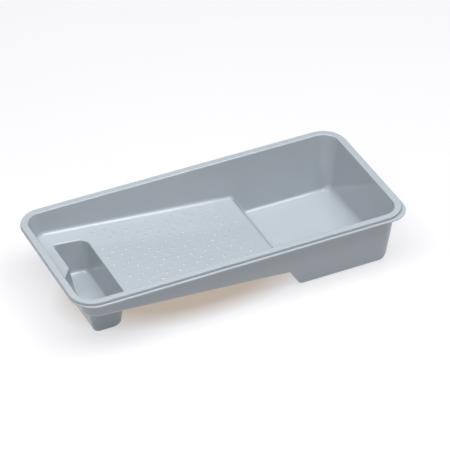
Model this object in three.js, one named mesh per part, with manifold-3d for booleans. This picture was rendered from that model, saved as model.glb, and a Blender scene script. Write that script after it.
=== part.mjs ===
// A mini paint roller tray: one thin plastic moulding with a stepped rim, a ramp with pips, a deep
// paint well, and a brush pocket whose outside is the tray's front foot.
//
// Millimetres, +Z up. +X runs along the tray to the deep end, +Y across it to the plain long side.
// The origin is on the surface that the tray stands on, under the middle of the rim.

import * as THREE from 'three';
import { mergeVertices } from 'three/addons/utils/BufferGeometryUtils.js';
import Module from 'manifold-3d';

const wasm = await Module();
wasm.setup();

// ---- Driving dimensions ----

const HEIGHT = 67; // surface to the top of the rim
const WALL = 1.6; // plastic thickness
const MOUTH = { length: 353, width: 155.6, radius: 18 }; // inner edge of the rim
const RIM = { flange: 7, drop: 3.4, lipThickness: 1.5 };
const LIP = { side: 2.3, deepEnd: 2.8, shallowEnd: 0.4 }; // width of the ledge outside the flange
const LIP_RADII = { shallowEnd: 26, deepFar: 27.3, deepNear: 22 }; // of its outer corners
const DRAFT = { side: 0.165, deepEnd: 0.12, shallowEnd: 0.3, corner: 0.138 }; // inset per mm of depth

const RAMP = { highEnd: 43.2, lowEnd: 23.05, edgeX: 55.4 }; // heights of the ramp's surface
const STEP_RUN = 13.3; // how far the slope from the ramp to the well reaches along X
const EDGE_RADIUS = { rampEnd: 4, stepFoot: 4, deepEnd: 10, wellFloor: 3, underside: 3.6 };

// The pocket's inner walls as lines in plan view, from its floor up to the level of the ramp.
const POCKET = [
  {
    z: WALL, right: -120.9, far: 48, left: -147.1, wideLeft: -151.4, near: -47.8, notch: 10.1, slant: 3.2,
    radii: { nearLeft: 4.2, nearRight: 12.4, farRight: 7, farLeft: 4, notchStart: 3, notchEnd: 5 },
  },
  {
    z: 22, right: -119.6, far: 50.6, left: -150.9, wideLeft: -155.6, near: -49.4, notch: 10.4, slant: 7,
    radii: { nearLeft: 7, nearRight: 10.4, farRight: 8, farLeft: 3.5, notchStart: 3.2, notchEnd: 4.6 },
  },
  {
    z: 39, right: -118.4, far: 52.6, left: -154, wideLeft: -164.7, near: -50.8, notch: 10.8, slant: 15,
    radii: { nearLeft: 12, nearRight: 8, farRight: 9, farLeft: 3, notchStart: 4, notchEnd: 4 },
  },
];

const PIP = { pitch: 15, columns: 11, rows: 9, firstX: -109.6, radius: 1.85, rise: 0.7 };
const GATE_MARK = { x: 77.5, radius: 2, rise: 0.6 }; // where the plastic was injected

const CORNER_STEPS = 6; // straight pieces in a rounded corner
const EDGE_STEPS = 3; // straight pieces in a rounded edge
const PIP_SIDES = 6;
const DOT_TOP = 0.55; // a dot's flat top, as a share of its foot
const OVERSHOOT = 1; // how far a cutting body runs past the face that it cuts
const END_GAP = 0.3; // keeps the side view's end line just outside the drafted end wall

const FLOOR = WALL; // height of the well's and the pocket's floor
const RAMP_FALL = (RAMP.highEnd - RAMP.lowEnd) / (RAMP.edgeX + MOUTH.length / 2);

// ---- Helpers: outlines, closed bodies, joins ----

/** Replaces each corner { x, y, r } by an arc of its radius, and moves the outline out by `grow`. */
function roundCorners(corners, steps, grow = 0) {
  const points = [];
  corners.forEach((corner, i) => {
    if (corner.r === 0) {
      points.push(new THREE.Vector2(corner.x, corner.y));
      return;
    }
    const before = corners[(i + corners.length - 1) % corners.length];
    const after = corners[(i + 1) % corners.length];
    const here = new THREE.Vector2(corner.x, corner.y);
    const back = new THREE.Vector2(before.x, before.y).sub(here).normalize();
    const ahead = new THREE.Vector2(after.x, after.y).sub(here).normalize();
    const half = Math.acos(THREE.MathUtils.clamp(back.dot(ahead), -1, 1)) / 2;
    const start = here.clone().addScaledVector(back, corner.r / Math.tan(half));
    const inward = back.clone().add(ahead).normalize();
    const middle = here.clone().addScaledVector(inward, corner.r / Math.sin(half));
    const side = Math.sign(ahead.cross(back));
    const spoke = start.clone().sub(middle);
    spoke.setLength(corner.r + grow * side);
    const turn = (Math.PI - 2 * half) * side;
    for (let k = 0; k <= steps; k += 1) {
      points.push(spoke.clone().rotateAround(new THREE.Vector2(), (turn * k) / steps).add(middle));
    }
  });
  return points;
}

/** Makes a closed solid from vertices and faces. */
function solidFrom(positions, faces) {
  const mesh = new wasm.Mesh({
    numProp: 3,
    vertProperties: new Float32Array(positions),
    triVerts: new Uint32Array(faces),
  });
  return new wasm.Manifold(mesh);
}

/** Adds the two faces between neighbouring points k and next of a lower and an upper ring. */
function addQuad(faces, lower, upper, k, next) {
  faces.push(lower + k, lower + next, upper + next);
  faces.push(lower + k, upper + next, upper + k);
}

/** A closed body through rings of points, from the lowest up. Each ring is { outline, z }. */
function loft(rings) {
  const count = rings[0].outline.length;
  const positions = rings.flatMap(({ outline, z }) => outline.flatMap((p) => [p.x, p.y, z]));
  const faces = [];
  for (let ring = 0; ring + 1 < rings.length; ring += 1) {
    for (let k = 0; k < count; k += 1) {
      addQuad(faces, ring * count, (ring + 1) * count, k, (k + 1) % count);
    }
  }
  const last = (rings.length - 1) * count;
  THREE.ShapeUtils.triangulateShape(rings[0].outline, []).forEach(([a, b, c]) => faces.push(a, c, b));
  THREE.ShapeUtils.triangulateShape(rings.at(-1).outline, []).forEach(([a, b, c]) => {
    faces.push(last + a, last + b, last + c);
  });
  return solidFrom(positions, faces);
}

/** A closed band through rings of points, each { outline, z }, in order round its section. */
function band(rings) {
  const count = rings[0].outline.length;
  const positions = rings.flatMap(({ outline, z }) => outline.flatMap((p) => [p.x, p.y, z]));
  const faces = [];
  for (let ring = 0; ring < rings.length; ring += 1) {
    for (let k = 0; k < count; k += 1) {
      addQuad(faces, ring * count, ((ring + 1) % rings.length) * count, k, (k + 1) % count);
    }
  }
  return solidFrom(positions, faces);
}

/** Turns a three.js geometry into a solid that can be joined and cut. */
function solidFromGeometry(geometry) {
  const bare = geometry.clone();
  bare.deleteAttribute('normal');
  bare.deleteAttribute('uv');
  const merged = mergeVertices(bare);
  return solidFrom(merged.attributes.position.array, merged.index.array);
}

/** Turns a finished solid back into a three.js geometry. */
function geometryFromSolid(solid) {
  const mesh = solid.getMesh();
  const geometry = new THREE.BufferGeometry();
  geometry.setAttribute('position', new THREE.BufferAttribute(mesh.vertProperties, 3));
  geometry.setIndex(new THREE.BufferAttribute(mesh.triVerts, 1));
  geometry.computeVertexNormals();
  return geometry;
}

// ---- The tub: drafted walls all round, and a floor that follows the side view ----

/** The tub's outline `depth` below the top of the rim, `grow` outside its inner face. */
function mouthOutline(grow, depth) {
  const side = MOUTH.width / 2 - DRAFT.side * depth + grow;
  const shallow = -MOUTH.length / 2 + DRAFT.shallowEnd * depth - grow;
  const deep = MOUTH.length / 2 - DRAFT.deepEnd * depth + grow;
  const r = MOUTH.radius - DRAFT.corner * depth + grow;
  const corners = [
    { x: shallow, y: -side, r },
    { x: deep, y: -side, r },
    { x: deep, y: side, r },
    { x: shallow, y: side, r },
  ];
  return roundCorners(corners, CORNER_STEPS);
}

/** The outer edge of the lip. */
function lipOutline() {
  const side = MOUTH.width / 2 + RIM.flange + LIP.side;
  const shallow = -MOUTH.length / 2 - RIM.flange - LIP.shallowEnd;
  const deep = MOUTH.length / 2 + RIM.flange + LIP.deepEnd;
  const corners = [
    { x: shallow, y: -side, r: LIP_RADII.shallowEnd },
    { x: deep, y: -side, r: LIP_RADII.deepNear },
    { x: deep, y: side, r: LIP_RADII.deepFar },
    { x: shallow, y: side, r: LIP_RADII.shallowEnd },
  ];
  return roundCorners(corners, CORNER_STEPS);
}

/** Rings from `bottom` up, with the lowest edge rounded by `radius`. outlineAt(z, inset) draws one. */
function roundedBottom(bottom, radius, outlineAt) {
  const rings = [];
  for (let k = 0; k <= EDGE_STEPS; k += 1) {
    const angle = (Math.PI / 2) * (k / EDGE_STEPS);
    const z = bottom + radius * (1 - Math.sin(Math.PI / 2 - angle));
    const inset = radius * (1 - Math.cos(Math.PI / 2 - angle));
    rings.push({ outline: outlineAt(z, inset), z });
  }
  return rings;
}

/** The drafted block inside the walls (grow 0) or up to their outer faces (grow WALL). */
function draftedBlock(grow, bottom, radius, top) {
  const outlineAt = (z, inset) => mouthOutline(grow - inset, HEIGHT - z);
  return loft([...roundedBottom(bottom, radius, outlineAt), { outline: outlineAt(top, 0), z: top }]);
}

/** Height of the ramp's surface at x. */
function rampHeight(x) {
  return RAMP.lowEnd + RAMP_FALL * (RAMP.edgeX - x);
}

/** The side view's floor line, moved `down` below the surface, as corners { x, y, r } with y up. */
function floorLine(down) {
  const beyond = MOUTH.length;
  const stepSlope = (RAMP.lowEnd - FLOOR) / STEP_RUN;
  const rampDrop = down * Math.hypot(1, RAMP_FALL);
  const stepDrop = down * Math.hypot(1, stepSlope);
  const edge = (stepDrop - rampDrop) / (stepSlope - RAMP_FALL);
  const foot = RAMP.edgeX + STEP_RUN - (stepDrop - down) / stepSlope;
  const endWallAt = (z) => MOUTH.length / 2 - DRAFT.deepEnd * (HEIGHT - z) + down + END_GAP;
  return [
    { x: -beyond, y: HEIGHT + beyond, r: 0 },
    { x: -beyond, y: rampHeight(-beyond) - rampDrop, r: 0 },
    { x: RAMP.edgeX - edge, y: rampHeight(RAMP.edgeX - edge) - rampDrop, r: EDGE_RADIUS.rampEnd - down },
    { x: foot, y: FLOOR - down, r: EDGE_RADIUS.stepFoot + down },
    { x: endWallAt(FLOOR - down), y: FLOOR - down, r: EDGE_RADIUS.deepEnd + down },
    { x: endWallAt(HEIGHT + beyond), y: HEIGHT + beyond, r: 0 },
  ];
}

/** Everything above the floor line, as a slab across the whole width. */
function aboveFloor(down) {
  const span = MOUTH.width * 2;
  const shape = new THREE.Shape(roundCorners(floorLine(down), CORNER_STEPS));
  const geometry = new THREE.ExtrudeGeometry(shape, { depth: span, bevelEnabled: false });
  geometry.rotateX(Math.PI / 2);
  geometry.translate(0, span / 2, 0);
  return solidFromGeometry(geometry);
}

// ---- The brush pocket, which is also the foot ----

/** The pocket's outline at height z, `grow` outside its inner face. */
function pocketOutline(z, grow) {
  const [low, high] = z < POCKET[1].z ? [POCKET[0], POCKET[1]] : [POCKET[1], POCKET[2]];
  const share = (z - low.z) / (high.z - low.z);
  const at = (key) => THREE.MathUtils.lerp(low[key], high[key], share);
  const radius = (key) => THREE.MathUtils.lerp(low.radii[key], high.radii[key], share);
  const corners = [
    { x: at('wideLeft'), y: at('near'), r: radius('nearLeft') },
    { x: at('right'), y: at('near'), r: radius('nearRight') },
    { x: at('right'), y: at('far'), r: radius('farRight') },
    { x: at('left'), y: at('far'), r: radius('farLeft') },
    { x: at('left'), y: at('notch'), r: radius('notchStart') },
    { x: at('wideLeft'), y: at('notch') - at('slant'), r: radius('notchEnd') },
  ];
  return roundCorners(corners, CORNER_STEPS, grow);
}

/** The pocket's space (grow 0) or the block up to its outer faces (grow WALL). */
function pocketBlock(grow, bottom, radius) {
  const outlineAt = (z, inset) => pocketOutline(z, grow - inset);
  const middle = POCKET[1].z;
  const top = rampHeight(POCKET[2].wideLeft) + OVERSHOOT;
  const upper = [middle, top].map((z) => ({ outline: outlineAt(z, 0), z }));
  return loft([...roundedBottom(bottom, radius, outlineAt), ...upper]);
}

// ---- Small raised features ----

/** A low flat-topped dot on the surface whose height at x is surfaceAt(x). */
function dot(x, y, { radius, rise }, surfaceAt) {
  const sunk = WALL / 2;
  const body = new THREE.CylinderGeometry(radius * DOT_TOP, radius, rise + sunk, PIP_SIDES);
  body.rotateX(Math.PI / 2);
  body.translate(x, y, surfaceAt(x) + (rise - sunk) / 2);
  return solidFromGeometry(body);
}

/** The pips: a square grid, and a second one set half a pitch off between its rows and columns. */
function pips() {
  const dots = [];
  for (const offset of [0, 1]) {
    for (let row = 0; row < PIP.rows - offset; row += 1) {
      for (let column = 0; column < PIP.columns - offset; column += 1) {
        const x = PIP.firstX + PIP.pitch * (column + offset / 2);
        const y = PIP.pitch * (row + offset / 2 - (PIP.rows - 1) / 2);
        dots.push(dot(x, y, PIP, rampHeight));
      }
    }
  }
  return wasm.Manifold.union(dots);
}

// ---- The rim: flange, step down, outer lip, open channel underneath ----

function rimBand() {
  const { flange, drop, lipThickness } = RIM;
  const lipTop = HEIGHT - drop;
  const lipUnderside = lipTop - lipThickness;
  const ring = (out, z) => ({ outline: mouthOutline(out, 0), z });
  const lipRing = (z) => ({ outline: lipOutline(), z });
  return band([
    ring(0, HEIGHT - WALL),
    ring(flange - WALL, HEIGHT - WALL),
    ring(flange - WALL, lipUnderside),
    lipRing(lipUnderside),
    lipRing(lipTop),
    ring(flange, lipTop),
    ring(flange, HEIGHT),
    ring(0, HEIGHT),
  ]);
}

// ---- The whole moulding ----

function traySolid() {
  const shellInner = aboveFloor(0).add(pocketBlock(0, FLOOR, EDGE_RADIUS.wellFloor));
  const shellOuter = aboveFloor(WALL).add(pocketBlock(WALL, 0, EDGE_RADIUS.underside));
  const space = draftedBlock(0, FLOOR, EDGE_RADIUS.wellFloor, HEIGHT + OVERSHOOT).intersect(shellInner);
  const block = draftedBlock(WALL, 0, EDGE_RADIUS.underside, HEIGHT).intersect(shellOuter);
  const gateMark = dot(GATE_MARK.x, 0, GATE_MARK, () => FLOOR);
  return block.add(rimBand()).subtract(space).add(pips()).add(gateMark);
}

const greyPlastic = new THREE.MeshStandardMaterial({ color: 0xc3cad2, roughness: 0.3, metalness: 0 });
const geometry = geometryFromSolid(traySolid());
geometry.translate((LIP.shallowEnd - LIP.deepEnd) / 2, 0, 0); // from the mouth's middle to the rim's
const tray = new THREE.Mesh(geometry, greyPlastic);
tray.name = 'tray';

const rollerTray = new THREE.Group();
rollerTray.add(tray);

export default rollerTray;
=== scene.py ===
# The looks of a mini paint roller tray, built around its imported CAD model.
#
# Lengths are in millimetres until a mesh is made, and the frame is the CAD's: +X runs along the tray
# to the deep end, +Y across it to the plain long side, and the tray stands on z = 0.
# The moulding is one closed mesh. A section of it (floor, fillet, wall, rim, outer wall, underside) is
# carried round the mouth of the tray, another section round the brush pocket, and the flat parts
# between them are filled in plan view.

import math

import bmesh
import bpy
from mathutils import Matrix, Vector
from mathutils.geometry import delaunay_2d_cdt


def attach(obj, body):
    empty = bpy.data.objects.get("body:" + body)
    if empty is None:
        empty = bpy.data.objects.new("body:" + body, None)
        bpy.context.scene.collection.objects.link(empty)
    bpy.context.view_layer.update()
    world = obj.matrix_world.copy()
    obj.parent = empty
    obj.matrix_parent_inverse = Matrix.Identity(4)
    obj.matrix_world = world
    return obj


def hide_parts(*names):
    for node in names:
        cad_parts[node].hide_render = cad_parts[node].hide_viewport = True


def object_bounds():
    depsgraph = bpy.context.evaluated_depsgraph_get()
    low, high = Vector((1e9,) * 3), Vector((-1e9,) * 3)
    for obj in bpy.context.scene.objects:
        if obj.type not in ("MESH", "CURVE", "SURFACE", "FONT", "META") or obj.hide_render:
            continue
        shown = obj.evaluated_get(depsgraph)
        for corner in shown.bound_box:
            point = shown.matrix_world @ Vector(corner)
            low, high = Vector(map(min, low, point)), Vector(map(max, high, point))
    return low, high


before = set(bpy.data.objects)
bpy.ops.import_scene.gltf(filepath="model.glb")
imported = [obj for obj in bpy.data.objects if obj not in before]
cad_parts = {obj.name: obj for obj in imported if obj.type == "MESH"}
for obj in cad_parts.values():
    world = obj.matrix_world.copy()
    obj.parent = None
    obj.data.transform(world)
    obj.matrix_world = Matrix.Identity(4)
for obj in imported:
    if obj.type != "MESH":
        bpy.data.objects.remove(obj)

MM = 0.001
CAD_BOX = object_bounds()
LOW, HIGH = (corner / MM for corner in CAD_BOX)

# ---- Driving dimensions ----

WALL = 1.6  # plastic thickness
FLANGE = 7.0  # flat top of the rim
LIP = 2.3  # narrow ledge outside the flange, along the sides
LIP_DEEP = 2.8  # the same at the deep end
LIP_SHALLOW = 0.4  # and at the shallow end
LIP_RADII = {(-1, -1): 26.0, (-1, 1): 26.0, (1, 1): 27.3, (1, -1): 22.0}  # of its outer corners
RIM_DROP = 3.4  # flange down to the ledge
LIP_THICKNESS = 1.5
CHANNEL = FLANGE - WALL  # inner face of the rim's skirt, from the mouth's edge

# The mouth is the rim's inner edge. Everything below is placed from its middle.
HEIGHT = HIGH.z - LOW.z
MOUTH_LENGTH = HIGH.x - LOW.x - 2 * FLANGE - LIP_DEEP - LIP_SHALLOW
MOUTH_WIDTH = HIGH.y - LOW.y - 2 * (FLANGE + LIP)
MOUTH_MIDDLE = Vector(((LIP_SHALLOW - LIP_DEEP) / 2, 0, 0))  # in the CAD's frame
MOUTH_RADIUS = 18.0
SIDE_DRAFT = 0.165  # how far a wall leans in per millimetre of depth
DEEP_DRAFT = 0.12
SHALLOW_DRAFT = 0.3
CORNER_DRAFT = 0.138  # how much a corner's radius shrinks per millimetre of depth

RAMP_HIGH = 43.2  # height of the ramp's surface under the shallow end's edge
RAMP_LOW = 23.05  # and at the top of the step
STEP_X = 55.4  # where the ramp ends
STEP_RUN = 13.3  # the step's reach along X
STEP_TOP_CURVE = 2.4  # how far the rounding at the top of the step reaches from its corner
STEP_FOOT_CURVE = 2.2  # and the rounding at its foot
RAMP_SLOPE = (RAMP_HIGH - RAMP_LOW) / (STEP_X + MOUTH_LENGTH / 2)
STEP_SLOPE = (RAMP_LOW - WALL) / STEP_RUN

# How far the curve between wall and floor reaches, inside the tray and under it. "ledge" is the strip
# between the wide part of the brush pocket and the shallow end's wall.
INSIDE_FILLETS = {"ledge": 1.2, "ramp": 4.0, "well": 3.0, "deep_end": 8.5, "shallow_end": 3.0}
UNDERSIDE_FILLETS = {"ledge": 1.8, "ramp": 4.5, "well": 3.6, "deep_end": 9.0, "shallow_end": 4.0}
FILLET_CHANGE_X = STEP_X - 25  # from here on, the ramp's curve turns into the well's
FILLET_CHANGE_RUN = 20
FILLET_CHANGE_PAST_NOTCH = 14  # and the ledge's into the rest of the shallow end's, past the notch

# The brush pocket's inner walls, as lines in plan view, from its floor up to the level of the ramp.
POCKET = (
    {
        "z": WALL, "right": -120.9, "far": 48.0, "left": -147.1, "wide_left": -151.4, "near": -47.8,
        "notch": 10.1, "slant": 3.2, "radii": (4.2, 12.4, 7.0, 4.0, 3.0, 5.0),
    },
    {
        "z": 22.0, "right": -119.6, "far": 50.6, "left": -150.9, "wide_left": -155.6, "near": -49.4,
        "notch": 10.4, "slant": 7.0, "radii": (7.0, 10.4, 8.0, 3.5, 3.2, 4.6),
    },
    {
        "z": 39.0, "right": -118.4, "far": 52.6, "left": -154.0, "wide_left": -164.7, "near": -50.8,
        "notch": 10.8, "slant": 15.0, "radii": (12.0, 8.0, 9.0, 3.0, 4.0, 4.0),
    },
)
FLARE = 6.0  # half the height over which the pocket's walls change their lean
POCKET_EDGE = {"open": 1.5, "left": 1.2, "ledge": 0.8}  # rounding of its opening
POCKET_EDGE_CHANGE = 10  # length of the opening's left side over which "left" turns into "ledge"
POCKET_FILLET = 3.6
FOOT_EDGE = 2.0  # rounding of the foot's lower edge
FOOT_ROOT = 0.6  # fillet between the foot and the ramp's underside

PIP_PITCH = 15.0
PIP_COLUMNS = 11
PIP_ROWS = 9
PIP_FIRST_X = -109.6
PIP_RADIUS = 1.85
PIP_RISE = 0.7
GATE_MARK = (77.5, 0.0)  # a small round mark on the well's floor, where the plastic went in
GATE_RADIUS = 2.0
GATE_RISE = 0.6
DOME = ((1.15, 0.0), (1.0, 0.1), (0.82, 0.37), (0.6, 0.73), (0.3, 0.95))  # share of radius, of rise

# How fine the mesh is.
CORNER_STEPS = 16
ACROSS_STEPS = 12
STEP_MARGIN = 5.0  # closely spaced columns reach this far past the step at both ends
PITCH_AT_STEP = 0.7
PITCH_ELSEWHERE = 8.5
STEP_CURVE_STEPS = 16
WALL_STEPS = 3
POCKET_STEPS = 8
POCKET_WALL_STEPS = 14
BEND_STEPS = 6
RIM_STEPS = 4
DOME_SIDES = 12
FLOOR_ROUNDS = 4  # rounds of the search for where a wall's line meets the floor
RAMP_ROUNDS = 8  # and of the one for where the pocket's line meets the ramp
PLAN_TOLERANCE = 0.0001
MERGE_DISTANCE = 0.004

CAMERA_PLACE = Vector((-0.9536, -2.0351, 1.7339))  # metres
CAMERA_RIGHT = Vector((0.9025, -0.4307, -0.0022))
CAMERA_UP = Vector((0.2596, 0.5400, 0.8006))
CAMERA_LENS = 219.6
FLOOR_SIDE = 12.0  # metres
FLOOR_GAP = 0.3  # keeps the floor's face apart from the tray's underside


# ---- Small geometry helpers ----

def smooth(share):
    """Eases a share from 0 to 1."""
    share = min(max(share, 0.0), 1.0)
    return share * share * (3 - 2 * share)


def bend(start, corner, end, steps):
    """Points of a rounded corner: a quarter ellipse that leaves both sides along their own lines."""
    points = []
    for k in range(steps + 1):
        turn = math.pi / 2 * k / steps
        towards_start = (start - corner) * (1 - math.sin(turn))
        towards_end = (end - corner) * (1 - math.cos(turn))
        points.append(corner + towards_start + towards_end)
    return points


def span(first, last, steps):
    """The points strictly between two points."""
    return [first.lerp(last, k / steps) for k in range(1, steps)]


def even_steps(first, last, steps):
    """The numbers strictly between two numbers."""
    return [first + (last - first) * k / steps for k in range(1, steps)]


def lifted(plan, z):
    """The plan point at height z."""
    return Vector((plan.x, plan.y, z))


class Shell:
    """Collects the points and faces of one closed mesh."""

    def __init__(self):
        self.points = []
        self.faces = []

    def add_bands(self, sections):
        """Faces between the neighbouring sections of a closed run, each a list of points."""
        start = len(self.points)
        size = len(sections[0])
        for section in sections:
            self.points.extend(section)
        for s in range(len(sections)):
            here = start + s * size
            there = start + (s + 1) % len(sections) * size
            for k in range(size - 1):
                self.faces.append((here + k, there + k, there + k + 1, here + k + 1))

    def add_fill(self, outline, holes, rings, lines, height):
        """Fills a plan outline with triangles, round the holes and through the rings and lines."""
        plan = []
        edges = []
        borders = set()
        for loop in [outline, *holes, *rings]:
            first = len(plan)
            plan.extend(Vector((p.x, p.y)) for p in loop)
            edges.extend((first + k, first + (k + 1) % len(loop)) for k in range(len(loop)))
            if loop is outline or loop in holes:
                borders.update(edges[first:])
        for a, b in lines:
            edges.append((len(plan), len(plan) + 1))
            plan.extend((Vector((a.x, a.y)), Vector((b.x, b.y))))
        points, _, triangles, sources, _, _ = delaunay_2d_cdt(plan, edges, [], 0, PLAN_TOLERANCE, True)
        made_from = {source: k for k, group in enumerate(sources) for source in group}
        borders = {frozenset((made_from[a], made_from[b])) for a, b in borders}
        start = len(self.points)
        self.points.extend(lifted(p, height(p)) for p in points)
        for triangle in largest_patch([tuple(t) for t in triangles], borders):
            self.faces.append(tuple(start + i for i in triangle))

    def make(self, name):
        """Makes the object, moved from the mouth's middle to the CAD's frame."""
        mesh = bpy.data.meshes.new(name)
        mesh.from_pydata([(p + MOUTH_MIDDLE) * MM for p in self.points], [], self.faces)
        work = bmesh.new()
        work.from_mesh(mesh)
        bmesh.ops.remove_doubles(work, verts=work.verts, dist=MERGE_DISTANCE * MM)
        bmesh.ops.recalc_face_normals(work, faces=work.faces)
        for face in work.faces:
            face.smooth = True
        work.to_mesh(mesh)
        work.free()
        made = bpy.data.objects.new(name, mesh)
        bpy.context.scene.collection.objects.link(made)
        return made


def largest_patch(triangles, borders):
    """The largest set of triangles that hang together without crossing a border edge."""
    by_edge = {}
    for triangle in triangles:
        for k, corner in enumerate(triangle):
            by_edge.setdefault(frozenset((corner, triangle[k - 1])), []).append(triangle)
    patches = []
    left = set(triangles)
    while left:
        waiting = [left.pop()]
        patch = []
        while waiting:
            triangle = waiting.pop()
            patch.append(triangle)
            for k, corner in enumerate(triangle):
                edge = frozenset((corner, triangle[k - 1]))
                if edge in borders:
                    continue
                beyond = [other for other in by_edge[edge] if other in left]
                left.difference_update(beyond)
                waiting.extend(beyond)
        patches.append(patch)
    return sorted(max(patches, key=len))


# ---- The floor in side view ----

def floor_profile(down):
    """Points (x, z) of the ramp, step and well floor, `down` below their upper surface."""
    ramp_drop = down * math.hypot(1, RAMP_SLOPE)
    step_drop = down * math.hypot(1, STEP_SLOPE)
    edge = (ramp_drop - step_drop) / (STEP_SLOPE - RAMP_SLOPE)
    foot = STEP_RUN - (step_drop - down) / STEP_SLOPE
    far = MOUTH_LENGTH
    start = Vector((STEP_X - far, RAMP_LOW + RAMP_SLOPE * far - ramp_drop))
    top = Vector((STEP_X + edge, RAMP_LOW - RAMP_SLOPE * edge - ramp_drop))
    bottom = Vector((STEP_X + foot, WALL - down))
    end = Vector((far, WALL - down))
    middle = (bottom - top).normalized()
    # Lower in the plastic, the curve at the top is tighter and the one at the foot is wider.
    top_cut = STEP_TOP_CURVE - down * 0.4
    foot_cut = STEP_FOOT_CURVE + down * 0.5
    before_top = top + (start - top).normalized() * top_cut
    before_bottom = bottom - middle * foot_cut
    after_bottom = bottom + Vector((foot_cut, 0))
    top_bend = bend(before_top, top, top + middle * top_cut, STEP_CURVE_STEPS)
    foot_bend = bend(before_bottom, bottom, after_bottom, STEP_CURVE_STEPS)
    return [start, *top_bend, *foot_bend, end]


FLOORS = {down: floor_profile(down) for down in (0.0, WALL)}


def floor_height(x, down):
    """Height of the floor's upper surface (down 0) or of its underside (down WALL)."""
    profile = FLOORS[down]
    for a, b in zip(profile, profile[1:]):
        if x <= b.x:
            return a.y + (b.y - a.y) * (x - a.x) / (b.x - a.x)
    return profile[-1].y


def floor_stretch(x, down):
    """How much longer the floor is than its plan length at x."""
    return math.hypot(1, (floor_height(x + 0.5, down) - floor_height(x - 0.5, down)))


# ---- Columns round the mouth ----

class Column:
    """One vertical section through the tub's wall. Its foot moves inward as it goes down."""

    def __init__(self, edge, outward, drift, lip_edge):
        self.edge = edge
        self.outward = outward
        self.drift = drift
        self.lip_edge = lip_edge

    def at(self, grow, depth, sunk=None):
        """A point `grow` outside the inner face at `sunk` (or `depth`) below the mouth."""
        plan = self.edge + self.outward * min(grow, FLANGE)
        if grow > FLANGE:
            plan = plan.lerp(self.lip_edge, (grow - FLANGE) / LIP)
        return lifted(plan + self.drift * (depth if sunk is None else sunk), HEIGHT - depth)

    def on_floor(self, grow, down):
        """The point where the column meets the floor's surface."""
        point = self.at(grow, 0)
        for _ in range(FLOOR_ROUNDS):
            point = self.at(grow, HEIGHT - floor_height(point.x, down))
        return point


def step_stations():
    """Positions along a long side: close together at the step, wide apart elsewhere."""
    first = MOUTH_RADIUS - MOUTH_LENGTH / 2
    last = -first
    step_start = STEP_X - STEP_MARGIN
    step_end = STEP_X + STEP_RUN + STEP_MARGIN
    runs = (
        (first, step_start, PITCH_ELSEWHERE),
        (step_start, step_end, PITCH_AT_STEP),
        (step_end, last, PITCH_ELSEWHERE),
    )
    stations = []
    for low, high, pitch in runs:
        count = round((high - low) / pitch)
        stations.extend(low + (high - low) * k / count for k in range(count))
    return stations[1:]


def mouth_columns():
    """All columns, counter-clockwise seen from above, from the near side's shallow end."""
    half_length = MOUTH_LENGTH / 2
    half_width = MOUTH_WIDTH / 2
    along = step_stations()
    reach = half_width - MOUTH_RADIUS
    across = [reach * (2 * k / ACROSS_STEPS - 1) for k in range(1, ACROSS_STEPS)]

    def straight(edge, outward, draft, lip):
        outward = Vector(outward)
        lip_edge = Vector(edge) + outward * (FLANGE + lip)
        return Column(Vector(edge), outward, outward * -draft, lip_edge)

    def corner(sx, sy, first_angle):
        draft = DEEP_DRAFT if sx > 0 else SHALLOW_DRAFT
        lip_radius = LIP_RADII[sx, sy]
        lip_length = half_length + FLANGE + (LIP_DEEP if sx > 0 else LIP_SHALLOW)
        lip_width = half_width + FLANGE + LIP
        lip_centre = Vector((sx * (lip_length - lip_radius), sy * (lip_width - lip_radius)))
        centre = Vector((sx * (half_length - MOUTH_RADIUS), sy * reach))
        drift = Vector((sx * (CORNER_DRAFT - draft), sy * (CORNER_DRAFT - SIDE_DRAFT)))
        for k in range(CORNER_STEPS + 1):
            angle = math.radians(first_angle + 90 * k / CORNER_STEPS)
            outward = Vector((math.cos(angle), math.sin(angle)))
            edge = centre + outward * MOUTH_RADIUS
            lip_edge = lip_centre + outward * lip_radius
            yield Column(edge, outward, drift - outward * CORNER_DRAFT, lip_edge)

    return [
        *(straight((x, -half_width), (0, -1), SIDE_DRAFT, LIP) for x in along),
        *corner(1, -1, -90),
        *(straight((half_length, y), (1, 0), DEEP_DRAFT, LIP_DEEP) for y in across),
        *corner(1, 1, 0),
        *(straight((x, half_width), (0, 1), SIDE_DRAFT, LIP) for x in reversed(along)),
        *corner(-1, 1, 90),
        *(straight((-half_length, -y), (-1, 0), SHALLOW_DRAFT, LIP_SHALLOW) for y in across),
        *corner(-1, -1, 180),
    ]


def fillet_reach(column, sizes):
    """How far the curve at the column's foot reaches, blended from side to side."""
    in_well = smooth((column.edge.x - FILLET_CHANGE_X) / FILLET_CHANGE_RUN)
    long_side = sizes["ramp"] + (sizes["well"] - sizes["ramp"]) * in_well
    beyond_ledge = smooth((column.edge.y - POCKET[2]["notch"]) / FILLET_CHANGE_PAST_NOTCH)
    shallow_end = sizes["ledge"] + (sizes["shallow_end"] - sizes["ledge"]) * beyond_ledge
    end = sizes["deep_end"] if column.outward.x > 0 else shallow_end
    return long_side + (end - long_side) * smooth(abs(column.outward.x))


def foot_of_wall(column, grow, down, sizes):
    """The curve from the wall to the floor: its points from the wall down."""
    reach = fillet_reach(column, sizes)
    corner = column.on_floor(grow, down)
    rise = reach * floor_stretch(corner.x, down)
    on_wall = column.at(grow, HEIGHT - corner.z - rise)
    on_floor = column.on_floor(grow - reach, down)
    return bend(on_wall, corner, on_floor, BEND_STEPS)


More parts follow.
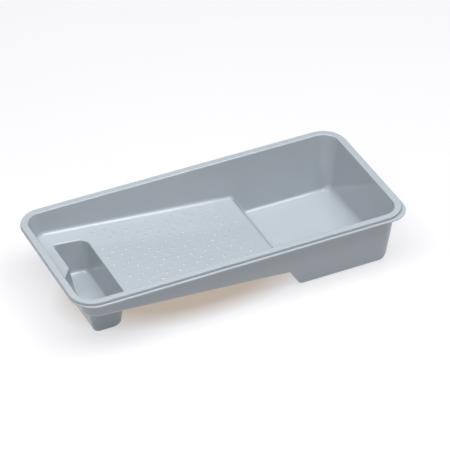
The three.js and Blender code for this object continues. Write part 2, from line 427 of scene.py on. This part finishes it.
def rim_path(column):
    """The rim's section from the inner wall over the flange and lip and back under it to the outer wall."""
    lip_edge = FLANGE + LIP
    lip_low = RIM_DROP + LIP_THICKNESS
    # Each corner is (grow, depth, depth that counts for the wall's draft), and how far its curve reaches.
    corners = (
        ((0, 5, 5), 0),
        ((0, 0, 0), 1.1),
        ((FLANGE, 0, 0), 0.35),
        ((FLANGE, RIM_DROP, 0), 0.15),
        ((lip_edge, RIM_DROP, 0), 0.2),
        ((lip_edge, lip_low, 0), 0.4),
        ((CHANNEL, lip_low, 0), 0.4),
        ((CHANNEL, WALL, 0), 0.7),
        ((WALL, WALL, WALL), 0.8),
        ((WALL, 8, 8), 0),
    )
    path = []
    for k, (corner, reach) in enumerate(corners):
        here = Vector(corner)
        if reach == 0:
            path.append(here)
            continue
        before = Vector(corners[k - 1][0])
        after = Vector(corners[k + 1][0])
        start = here.lerp(before, reach / (before.xy - here.xy).length)
        end = here.lerp(after, reach / (after.xy - here.xy).length)
        path.extend(bend(start, here, end, RIM_STEPS))
    return [column.at(grow, depth, sunk) for grow, depth, sunk in path]


def tub_section(column):
    """One closed-off section of the tub, from the floor's surface round the rim to the underside."""
    inner = foot_of_wall(column, 0, 0.0, INSIDE_FILLETS)
    outer = foot_of_wall(column, WALL, WALL, UNDERSIDE_FILLETS)
    rim = rim_path(column)
    return [
        *reversed(inner),
        *span(inner[0], rim[0], WALL_STEPS),
        *rim,
        *span(rim[-1], outer[0], WALL_STEPS),
        *outer,
    ]


# ---- The brush pocket ----

def pocket_corners(level):
    """The pocket's corners, counter-clockwise from the near left, with their radii."""
    corners = (
        (level["wide_left"], level["near"]),
        (level["right"], level["near"]),
        (level["right"], level["far"]),
        (level["left"], level["far"]),
        (level["left"], level["notch"]),
        (level["wide_left"], level["notch"] - level["slant"]),
    )
    return [(Vector(corner), radius) for corner, radius in zip(corners, level["radii"])]


def rounded_outline(corners, steps):
    """Points and outward normals along a closed outline with rounded corners."""
    points = []
    for k, (corner, radius) in enumerate(corners):
        arriving = (corner - corners[k - 1][0]).normalized()
        leaving = (corners[(k + 1) % len(corners)][0] - corner).normalized()
        turn = math.atan2(arriving.x * leaving.y - arriving.y * leaving.x, arriving.dot(leaving))
        side = math.copysign(1, turn)
        outward = Vector((arriving.y, -arriving.x))
        start = corner - arriving * radius * math.tan(abs(turn) / 2)
        centre = start - outward * radius * side
        for step in range(steps + 1):
            normal = Matrix.Rotation(turn * step / steps, 2) @ outward
            points.append((centre + normal * radius * side, normal))
    return points


class PocketColumn:
    """One vertical section through the pocket's wall, whose lean changes half-way up."""

    def __init__(self, points):
        self.points = points  # (point, outward normal) at each level of POCKET

    def at(self, grow, z):
        """A point `grow` outside the inner face at height z."""
        low, middle, high = (point + normal * grow for point, normal in self.points)
        low_z, middle_z, high_z = (level["z"] for level in POCKET)
        lean_below = (middle - low) / (middle_z - low_z)
        lean_above = (high - middle) / (high_z - middle_z)
        above = z - middle_z
        eased = max(above, 0) if abs(above) > FLARE else (above + FLARE) ** 2 / (4 * FLARE)
        return lifted(middle + lean_below * above + (lean_above - lean_below) * eased, z)

    def on_ramp(self, grow, down):
        """The point where the column meets the ramp's surface, or its underside."""
        point = self.at(grow, POCKET[2]["z"])
        for _ in range(RAMP_ROUNDS):
            point = self.at(grow, floor_height(point.x, down))
        return point

    def section(self, grow, down, edge, fillet):
        """From the ramp over the edge, down the wall and onto the floor."""
        top = self.on_ramp(grow, down)
        floor = WALL - down
        over = bend(self.on_ramp(grow + edge, down), top, self.at(grow, top.z - edge), BEND_STEPS)
        wall = [self.at(grow, z) for z in even_steps(top.z - edge, floor + fillet, POCKET_WALL_STEPS)]
        above = self.at(grow, floor + fillet)
        inward = self.at(grow - fillet, floor)
        foot = bend(above, self.at(grow, floor), inward, BEND_STEPS)
        return [*over, *wall, *foot]


def pocket_columns():
    """All of the pocket's columns, counter-clockwise seen from above."""
    levels = [rounded_outline(pocket_corners(level), POCKET_STEPS) for level in POCKET]
    return [PocketColumn(points) for points in zip(*levels)]


def pocket_edge(column):
    """The opening's rounding: wide on the open sides, narrow along the ledge by the end wall."""
    point, outward = column.points[2]
    leftness = smooth(-outward.x * 1.5)
    on_ledge = smooth((POCKET[2]["notch"] - point.y) / POCKET_EDGE_CHANGE)
    left = POCKET_EDGE["left"] + (POCKET_EDGE["ledge"] - POCKET_EDGE["left"]) * on_ledge
    return POCKET_EDGE["open"] + (left - POCKET_EDGE["open"]) * leftness


# ---- Domes: the ramp's pips and the gate mark ----

def pip_centres():
    """A square grid, and a second one half a pitch off between its rows and columns."""
    for offset in (0, 1):
        for row in range(PIP_ROWS - offset):
            for column in range(PIP_COLUMNS - offset):
                x = PIP_FIRST_X + PIP_PITCH * (column + offset / 2)
                y = PIP_PITCH * (row + offset / 2 - (PIP_ROWS - 1) / 2)
                yield x, y


def domes():
    """Rings of every dome in plan view, and the rise at each ring point and centre."""
    rings = []
    rises = {}
    kinds = [(centre, PIP_RADIUS, PIP_RISE) for centre in pip_centres()]
    kinds.append((GATE_MARK, GATE_RADIUS, GATE_RISE))
    for (x, y), radius, rise in kinds:
        for share, lift in DOME:
            ring = []
            for k in range(DOME_SIDES):
                angle = 2 * math.pi * k / DOME_SIDES
                point = Vector((x + radius * share * math.cos(angle), y + radius * share * math.sin(angle)))
                ring.append(point)
                rises[plan_key(point)] = rise * lift
            rings.append(ring)
        rises[plan_key(Vector((x, y)))] = rise
        rings.append([Vector((x, y))])
    return rings, rises


def plan_key(point):
    """What a point's rise is stored under: its plan position to a hundredth of a millimetre."""
    return round(point.x, 2), round(point.y, 2)


# ---- The whole moulding ----

def step_lines(columns, grow, down, sizes):
    """Lines straight across the floor wherever it bends."""
    lines = []
    straight_part = MOUTH_LENGTH / 2 - MOUTH_RADIUS - 1
    near = [c for c in columns if c.outward.y == -1 and abs(c.edge.x) < straight_part]
    far = [c for c in columns if c.outward.y == 1 and abs(c.edge.x) < straight_part]
    margin = STEP_MARGIN + 1
    for pair in zip(near, reversed(far)):
        if STEP_X - margin < pair[0].edge.x < STEP_X + STEP_RUN + margin:
            lines.append([foot_of_wall(column, grow, down, sizes)[-1] for column in pair])
    return lines


def build_tray():
    """The whole mesh: tub and rim, the pocket's inside and the foot, and the floors between them."""
    shell = Shell()
    columns = mouth_columns()
    sections = [tub_section(column) for column in columns]
    shell.add_bands(sections)

    pocket = pocket_columns()
    inside_pocket = [c.section(0, 0.0, pocket_edge(c), POCKET_FILLET) for c in pocket]
    foot = [c.section(WALL, WALL, FOOT_ROOT, FOOT_EDGE) for c in pocket]
    for sections_of_pocket, floor in ((inside_pocket, WALL), (foot, 0.0)):
        shell.add_bands(sections_of_pocket)
        shell.add_fill([s[-1] for s in sections_of_pocket], [], [], [], lambda p, floor=floor: floor)

    rings, rises = domes()
    shell.add_fill(
        [s[0] for s in sections],
        [[s[0] for s in inside_pocket]],
        rings,
        step_lines(columns, 0, 0.0, INSIDE_FILLETS),
        lambda p: floor_height(p.x, 0.0) + rises.get(plan_key(p), 0.0),
    )
    shell.add_fill(
        [s[-1] for s in sections],
        [[s[0] for s in foot]],
        [],
        step_lines(columns, WALL, WALL, UNDERSIDE_FILLETS),
        lambda p: floor_height(p.x, WALL),
    )
    tray = shell.make("tray_moulding")
    shading = tray.modifiers.new("even_shading", "WEIGHTED_NORMAL")
    shading.mode = "FACE_AREA"
    shading.weight = 50
    return tray


# ---- Materials ----

class Nodes:
    """Short ways to add and join shader nodes."""

    def __init__(self, name):
        self.material = bpy.data.materials.new(name)
        self.material.use_nodes = True
        self.tree = self.material.node_tree
        self.shader = self.tree.nodes["Principled BSDF"]
        self.place = self.add("ShaderNodeTexCoord").outputs["Object"]

    def add(self, kind):
        return self.tree.nodes.new(kind)

    def join(self, out, into):
        self.tree.links.new(out, into)

    def noise(self, scale, detail=2.0, roughness=0.5):
        """Noise with `scale` patches to the metre."""
        texture = self.add("ShaderNodeTexNoise")
        texture.inputs["Scale"].default_value = scale
        texture.inputs["Detail"].default_value = detail
        texture.inputs["Roughness"].default_value = roughness
        self.join(self.place, texture.inputs["Vector"])
        return texture.outputs["Fac"]

    def ramp(self, value, stops):
        """Maps a value to colours through stops of (position, colour)."""
        node = self.add("ShaderNodeValToRGB")
        elements = node.color_ramp.elements
        while len(elements) < len(stops):
            elements.new(0.5)
        for element, (position, colour) in zip(elements, stops):
            element.position = position
            element.color = (*colour, 1.0)
        self.join(value, node.inputs["Fac"])
        return node.outputs["Color"]

    def scaled(self, value, low, high):
        """Maps 0..1 to low..high."""
        node = self.add("ShaderNodeMapRange")
        node.inputs["To Min"].default_value = low
        node.inputs["To Max"].default_value = high
        self.join(value, node.inputs["Value"])
        return node.outputs["Result"]

    def bump(self, height, distance, strength, below=None):
        """Small relief of up to `distance` metres, on top of the relief `below`."""
        node = self.add("ShaderNodeBump")
        node.inputs["Distance"].default_value = distance
        node.inputs["Strength"].default_value = strength
        self.join(height, node.inputs["Height"])
        if below is not None:
            self.join(below, node.inputs["Normal"])
        return node.outputs["Normal"]


def grey_plastic():
    """Glossy injection-moulded plastic: faint flow mottling, orange peel and a little handling wear."""
    n = Nodes("grey_plastic")
    mottling = n.noise(22, detail=4, roughness=0.6)
    grey = n.ramp(mottling, ((0.3, (0.305, 0.338, 0.366)), (0.7, (0.315, 0.348, 0.376))))
    n.join(grey, n.shader.inputs["Base Color"])
    wear = n.noise(60, detail=5, roughness=0.65)
    n.join(n.scaled(wear, 0.07, 0.13), n.shader.inputs["Roughness"])
    peel = n.noise(420, detail=2)
    waves = n.noise(26, detail=1)
    peeled = n.bump(peel, distance=0.00005, strength=0.1)
    n.join(n.bump(waves, distance=0.0003, strength=0.1, below=peeled), n.shader.inputs["Normal"])
    n.shader.inputs["IOR"].default_value = 1.5
    return n.material


def floor_material():
    """A pale floor whose even emission keeps it white and its shadows pale, with a painted shadow: the
    emission is weaker and warmer in an oval under the tray.
    """
    n = Nodes("pale_floor")
    tone = n.ramp(n.noise(3, detail=2), ((0.3, (0.21, 0.21, 0.21)), (0.7, (0.22, 0.22, 0.22))))
    n.join(tone, n.shader.inputs["Base Color"])
    n.shader.inputs["Roughness"].default_value = 0.9
    n.shader.inputs["Specular IOR Level"].default_value = 0.1
    # Painted shadow: an oval patch about 31 cm long and 16 cm wide, a little nearer to the foot than to the
    # well, where the emission is weaker and warmer.
    mapping = n.add("ShaderNodeMapping")
    mapping.inputs["Location"].default_value = (0.18, 0.0, 0)
    mapping.inputs["Scale"].default_value = (6.5, 12.5, 1)
    n.join(n.place, mapping.inputs["Vector"])
    painted_shadow_oval = n.add("ShaderNodeTexGradient")
    painted_shadow_oval.gradient_type = "SPHERICAL"
    n.join(mapping.outputs["Vector"], painted_shadow_oval.inputs["Vector"])
    # Emission colour: an even pale bluish white outside the oval, and a painted shadow of dimmer warm beige
    # inside it.
    emission_with_painted_shadow = n.ramp(painted_shadow_oval.outputs["Fac"], ((0.0, (0.65, 0.65, 0.67)), (0.35, (0.46, 0.385, 0.32))))
    n.join(emission_with_painted_shadow, n.shader.inputs["Emission Color"])
    n.shader.inputs["Emission Strength"].default_value = 1.0
    return n.material


# ---- Stage ----

def make_floor():
    """The pale surface that the tray stands on."""
    mesh = bpy.data.meshes.new("floor")
    half = FLOOR_SIDE / 2
    z = -FLOOR_GAP * MM
    corners = [(-half, -half, z), (half, -half, z), (half, half, z), (-half, half, z)]
    mesh.from_pydata(corners, [], [(0, 1, 2, 3)])
    mesh.materials.append(floor_material())
    floor = bpy.data.objects.new("floor", mesh)
    bpy.context.scene.collection.objects.link(floor)


def area_light(name, place, size, watts):
    """A soft white rectangular light of `size` at `place`, in metres, turned towards the tray."""
    light = bpy.data.lights.new(name, "AREA")
    light.shape = "RECTANGLE"
    light.size, light.size_y = size
    light.energy = watts
    lamp = bpy.data.objects.new(name, light)
    lamp.location = place
    lamp.rotation_euler = (-Vector(place)).to_track_quat("-Z", "Y").to_euler()
    bpy.context.scene.collection.objects.link(lamp)


def make_lights():
    """A wide softbox overhead, a weak fill from the left, and a strip that draws the bright curves."""
    world = bpy.data.worlds.new("studio")
    world.use_nodes = True
    background = world.node_tree.nodes["Background"]
    background.inputs["Color"].default_value = (0.95, 0.97, 1.0, 1.0)
    background.inputs["Strength"].default_value = 0.12
    bpy.context.scene.world = world
    area_light("overhead", place=(-0.1, -0.35, 1.45), size=(2.0, 0.9), watts=37)
    area_light("left_fill", place=(-0.75, -0.2, 1.2), size=(0.8, 0.8), watts=5)
    area_light("strip", place=(0.45, -0.25, 1.45), size=(1.6, 0.22), watts=7)
    bpy.context.scene.view_settings.view_transform = "Standard"


def make_camera():
    """A long lens, from the shallow end's near side and well above."""
    data = bpy.data.cameras.new("camera")
    data.sensor_width = 36
    data.lens = CAMERA_LENS
    data.clip_end = 20
    camera = bpy.data.objects.new("camera", data)
    turn = Matrix((CAMERA_RIGHT, CAMERA_UP, CAMERA_RIGHT.cross(CAMERA_UP))).transposed()
    camera.matrix_world = Matrix.Translation(CAMERA_PLACE) @ turn.to_4x4()
    bpy.context.scene.collection.objects.link(camera)
    bpy.context.scene.camera = camera


make_camera()
make_floor()
make_lights()
tray = build_tray()
tray.data.materials.append(grey_plastic())
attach(tray, "root")
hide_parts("tray")
